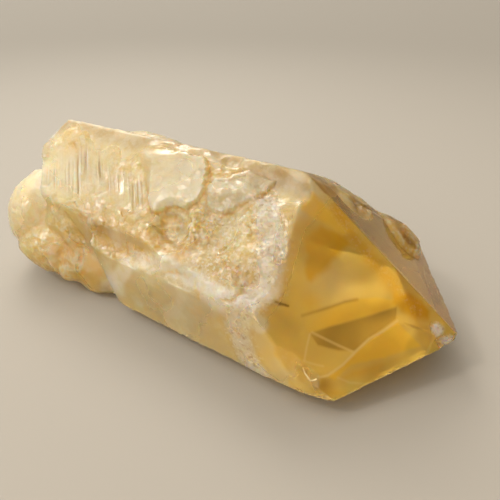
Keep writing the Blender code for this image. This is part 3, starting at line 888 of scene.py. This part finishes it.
# Painted glints: bright pale flecks stand in for the sparkle of small fracture flakes under the face.
SPARK, GLINT_FLECK_DEPTH = (0.99, 0.95, 0.82), 0.35
GLINT_FLECKS = [((-10.8, -5.8), 0.45), ((-10.2, -5.7), 0.3), ((-8.9, -3.8), 0.4), ((-8.1, -3.7), 0.28),
          ((-9.7, -4.0), 0.25), ((-13.2, -9.4), 0.25), ((-11.2, -7.0), 0.22), ((-4.3, -1.9), 0.4)]
inclusions_and_glints += [(SPARK, glint_fleck(place, GLINT_FLECK_DEPTH, size, number))
               for number, (place, size) in enumerate(GLINT_FLECKS)]

layer_points, layer_faces, layer_tones, layer_mist, first = [], [], [], [], 0
for tone, (points, strength, (rows, columns)) in inclusions_and_glints:
    layer_points.append(points)
    layer_faces.append(quads(rows, columns, first))
    layer_tones.append(np.tile(np.array(tone), (len(points), 1)))
    layer_mist.append(np.clip(strength, 0.0, 1.0))
    first += len(points)
layers_mesh = bpy.data.meshes.new("growth_layers_and_glints")
layer_places = TIP + np.concatenate(layer_points) * MM
layers_mesh.from_pydata(layer_places.tolist(), [], np.concatenate(layer_faces).tolist())
store(layers_mesh, "tone", np.concatenate(layer_tones))
store(layers_mesh, "mist", np.concatenate(layer_mist))
layers_mesh.polygons.foreach_set("use_smooth", np.ones(len(layers_mesh.polygons), dtype=bool))
layers = bpy.data.objects.new("growth_layers_and_glints", layers_mesh)
bpy.context.scene.collection.objects.link(layers)


def tinted_layer():
    """A thin coloured sheet in the quartz, stronger or fainter over its surface."""
    material = bpy.data.materials.new("growth_layer_and_glint")
    material.use_nodes = True
    nodes, links = material.node_tree.nodes, material.node_tree.links
    shader = nodes["Principled BSDF"]
    for name, output, socket in (("tone", "Color", "Base Color"), ("mist", "Fac", "Alpha")):
        source = nodes.new("ShaderNodeAttribute")
        source.attribute_name = name
        links.new(source.outputs[output], shader.inputs[socket])
    shader.inputs["Roughness"].default_value = 0.6
    shader.inputs["Specular IOR Level"].default_value = 0.0
    return material


layers_mesh.materials.append(tinted_layer())
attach(layers, "root")


# ---------------------------------------------------------------- floor, light and camera
# A plain pale tabletop, one large soft light from the upper left and a warm low fill.

def flat_material(name, color, roughness):
    """A plain matt finish."""
    material = bpy.data.materials.new(name)
    material.use_nodes = True
    shader = material.node_tree.nodes["Principled BSDF"]
    shader.inputs["Base Color"].default_value = (*color, 1.0)
    shader.inputs["Roughness"].default_value = roughness
    return material


floor_mesh = bpy.data.meshes.new("floor")
floor_mesh.from_pydata([(-4, -4, 0), (4, -4, 0), (4, 4, 0), (-4, 4, 0)], [], [(0, 1, 2, 3)])
floor = bpy.data.objects.new("floor", floor_mesh)
bpy.context.scene.collection.objects.link(floor)
floor.location.z = -0.0002
floor_mesh.materials.append(flat_material("pale_floor", (0.275, 0.25, 0.218), 0.8))


def area_light(name, place, aim, size, spread, power, color):
    """A round soft light that faces a point and is shaded to a cone, spread degrees wide."""
    data = bpy.data.lights.new(name, "AREA")
    data.shape = "DISK"
    data.size = size
    data.spread = math.radians(spread)
    data.energy = power
    data.color = color
    light = bpy.data.objects.new(name, data)
    light.location = place
    light.rotation_euler = (Vector(aim) - Vector(place)).to_track_quat("-Z", "Y").to_euler()
    bpy.context.scene.collection.objects.link(light)


area_light("window", (-0.50, 0.32, 0.55), (0, 0, 0.01), 0.40, 44, 0.32, (1.0, 0.95, 0.86))
area_light("glint", (-0.42, -0.42, 0.66), (0, 0, 0.01), 0.16, 44, 0.13, (1.0, 0.97, 0.92))

# A wide soft glow round the window and a fainter one from the front, on an even dim room.
world = bpy.data.worlds.new("studio")
bpy.context.scene.world = world
world.use_nodes = True
sky, wires = world.node_tree.nodes, world.node_tree.links
look = sky.new("ShaderNodeTexCoord")
level = None
for direction, edge, glow in (((-0.66, 0.36, 0.66), 0.45, 1.7), ((-0.35, -0.60, 0.72), 0.35, 1.7),
                              ((-0.15, -0.95, 0.20), 0.50, 0.8)):
    toward = sky.new("ShaderNodeVectorMath")
    toward.operation = "DOT_PRODUCT"
    toward.inputs[1].default_value = Vector(direction).normalized()
    wires.new(look.outputs["Generated"], toward.inputs[0])
    soft = sky.new("ShaderNodeMapRange")
    soft.interpolation_type = "SMOOTHSTEP"
    soft.inputs["From Min"].default_value = edge
    soft.inputs["To Max"].default_value = glow
    wires.new(toward.outputs["Value"], soft.inputs["Value"])
    total = sky.new("ShaderNodeMath")
    total.inputs[1].default_value = 0.20
    wires.new(soft.outputs["Result"], total.inputs[0])
    if level:
        wires.new(level.outputs["Value"], total.inputs[1])
    level = total
room = sky["Background"]
room.inputs["Color"].default_value = (1.0, 0.94, 0.83, 1.0)
wires.new(level.outputs["Value"], room.inputs["Strength"])
bpy.context.scene.view_settings.view_transform = "Standard"
bpy.context.scene.cycles.sample_clamp_indirect = 4.0

AZIMUTH, ELEVATION = math.radians(33.0), math.radians(30.5)
LENS = 34.56                                       # millimetres, for 55 degrees across
CAMERA_PLACE = Vector(TIP) + Vector((4.28, -76.52, 57.82)) * MM
level_share = math.cos(ELEVATION)
back = Vector((math.sin(AZIMUTH) * level_share, -math.cos(AZIMUTH) * level_share, math.sin(ELEVATION)))
camera = bpy.data.objects.new("camera", bpy.data.cameras.new("camera"))
camera.data.lens = LENS
camera.data.clip_start = 0.005
camera.matrix_world = Matrix.Translation(CAMERA_PLACE) @ back.to_track_quat("Z", "Y").to_matrix().to_4x4()
bpy.context.scene.collection.objects.link(camera)
bpy.context.scene.camera = camera
